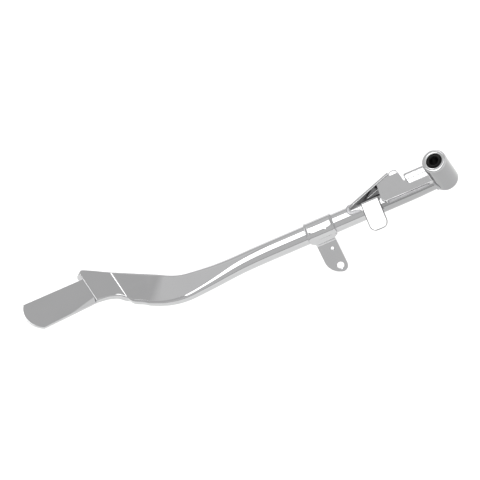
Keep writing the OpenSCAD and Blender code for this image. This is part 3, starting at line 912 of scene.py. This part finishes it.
def build_world():
    """Soft studio surroundings: lighter to the back, front and pivot's side, darker at the horizon."""
    base_level = 0.72
    world = bpy.data.worlds.new("studio")
    bpy.context.scene.world = world
    world.use_nodes = True
    tree = world.node_tree
    background = tree.nodes["Background"]
    coords = tree.nodes.new("ShaderNodeTexCoord")
    split = tree.nodes.new("ShaderNodeSeparateXYZ")
    tree.links.new(coords.outputs["Generated"], split.inputs["Vector"])

    def band(axis, low, high, amount):
        node = tree.nodes.new("ShaderNodeMapRange")
        node.interpolation_type = "SMOOTHSTEP"
        node.inputs["From Min"].default_value = low
        node.inputs["From Max"].default_value = high
        node.inputs["To Min"].default_value = 0.0
        node.inputs["To Max"].default_value = amount
        tree.links.new(split.outputs[axis], node.inputs["Value"])
        return node.outputs["Result"]

    back, pivot_side = band("Y", 0.55, 0.90, 0.15), band("X", 0.42, 0.66, 0.38)
    front, horizon = band("Y", -0.2, -0.75, 0.14), band("Z", 0.28, 0.05, -0.18)
    total = None
    for term in (back, pivot_side, front, horizon):
        add = tree.nodes.new("ShaderNodeMath")
        add.operation = "ADD"
        add.inputs[1].default_value = base_level
        if total is not None:
            tree.links.new(total, add.inputs[1])
        tree.links.new(term, add.inputs[0])
        total = add.outputs["Value"]
    tree.links.new(total, background.inputs["Strength"])
    background.inputs["Color"].default_value = (1.0, 1.0, 1.0, 1)


CARD_Z = 1.5              # height of the soft boxes, in metres like every stage size
POWER_PER_RADIANCE = 4    # Cycles gives an area light a radiance of power / (4 * area)


def ceiling_card(name, x_range, y_range, radiance, seen="glossy", height=CARD_Z):
    """A flat soft light overhead that faces straight down, for reflections or for the floor alone."""
    (x0, x1), (y0, y1) = x_range, y_range
    centre = ((x0 + x1) / 2, (y0 + y1) / 2)
    size = (x1 - x0, y1 - y0)
    light = bpy.data.lights.new(name, "AREA")
    light.shape = "RECTANGLE"
    light.size, light.size_y = size
    light.energy = POWER_PER_RADIANCE * radiance * size[0] * size[1]
    obj = bpy.data.objects.new(name, light)
    obj.location = (*centre, height)
    obj.visible_camera = False
    obj.visible_glossy = seen == "glossy"
    obj.visible_diffuse = seen == "diffuse"
    bpy.context.scene.collection.objects.link(obj)


def build_lights():
    build_world()
    # the main card gives the long highlight on the round leg
    ceiling_card("main_card", (-0.60, 0.16), (-0.60, 0.80), 2.2)
    # a card further forward that only the upturned flange catches
    ceiling_card("flange_card", (-0.285, -0.22), (-1.05, -0.78), 4.5)
    # behind it the ceiling gets lighter in steps, each a little higher so that their light adds up
    for i in range(4):
        height = CARD_Z + 0.01 * (i + 1)
        ceiling_card(f"ceiling_{i}", (-0.52 + 0.02 * i, 0.2), (0.84, 2.2), 0.032, height=height)
        # the sloping part between round and flat looks further out
        ceiling_card(f"ceiling_far_{i}", (-1.2, -0.580 + 0.008 * i), (0.84, 2.2), 0.045, height=height)
    # a lamp that the fold of the foot catches
    ceiling_card("fold_lamp", (-0.19, 0.24), (0.98, 1.50), 2.2)
    # a broad fill keeps the floor white under the leg
    ceiling_card("floor_fill", (-4, 4), (-4, 4), 0.70, seen="diffuse", height=3.0)
    bpy.context.scene.view_settings.view_transform = "Standard"


def build_camera():
    """The camera looks down at 58 degrees, rolled so that the leg climbs to the right."""
    right = unit(vec(0.9103, -0.2723, -0.3116))
    view = unit(vec(-0.137, 0.512, -0.848))
    right = unit(right - view * np.dot(right, view))
    up = np.cross(right, view)
    frame_width = 393.6 * MM
    # the pivot's centre sits right of and above the middle of the frame
    offset_right, offset_up = 163.672 * MM, 57.236 * MM
    middle_depth = 24.5 * MM          # the middle of the object's depth lies past the pivot's centre
    target = -right * offset_right - up * offset_up + view * middle_depth
    distance = 10.0
    position = target - view * distance
    camera = bpy.data.cameras.new("camera")
    camera.sensor_width = 36
    camera.lens = camera.sensor_width * distance / frame_width
    camera.clip_end = 60
    obj = bpy.data.objects.new("camera", camera)
    basis = Matrix(((right[0], up[0], -view[0]), (right[1], up[1], -view[1]), (right[2], up[2], -view[2])))
    obj.matrix_world = Matrix.Translation(Vector(position)) @ basis.to_4x4()
    bpy.context.scene.collection.objects.link(obj)
    bpy.context.scene.camera = obj


build_leg()
build_barrel()
build_pivot_inside()
build_lock_plate()
build_neck_flange()
build_ramp_gusset()
build_kick_tab()
build_saddle_bracket()
build_foot_plate()
build_barrel_weld()
build_head_welds()
build_saddle_welds()
build_foot_welds()
build_stage()
build_lights()
build_camera()
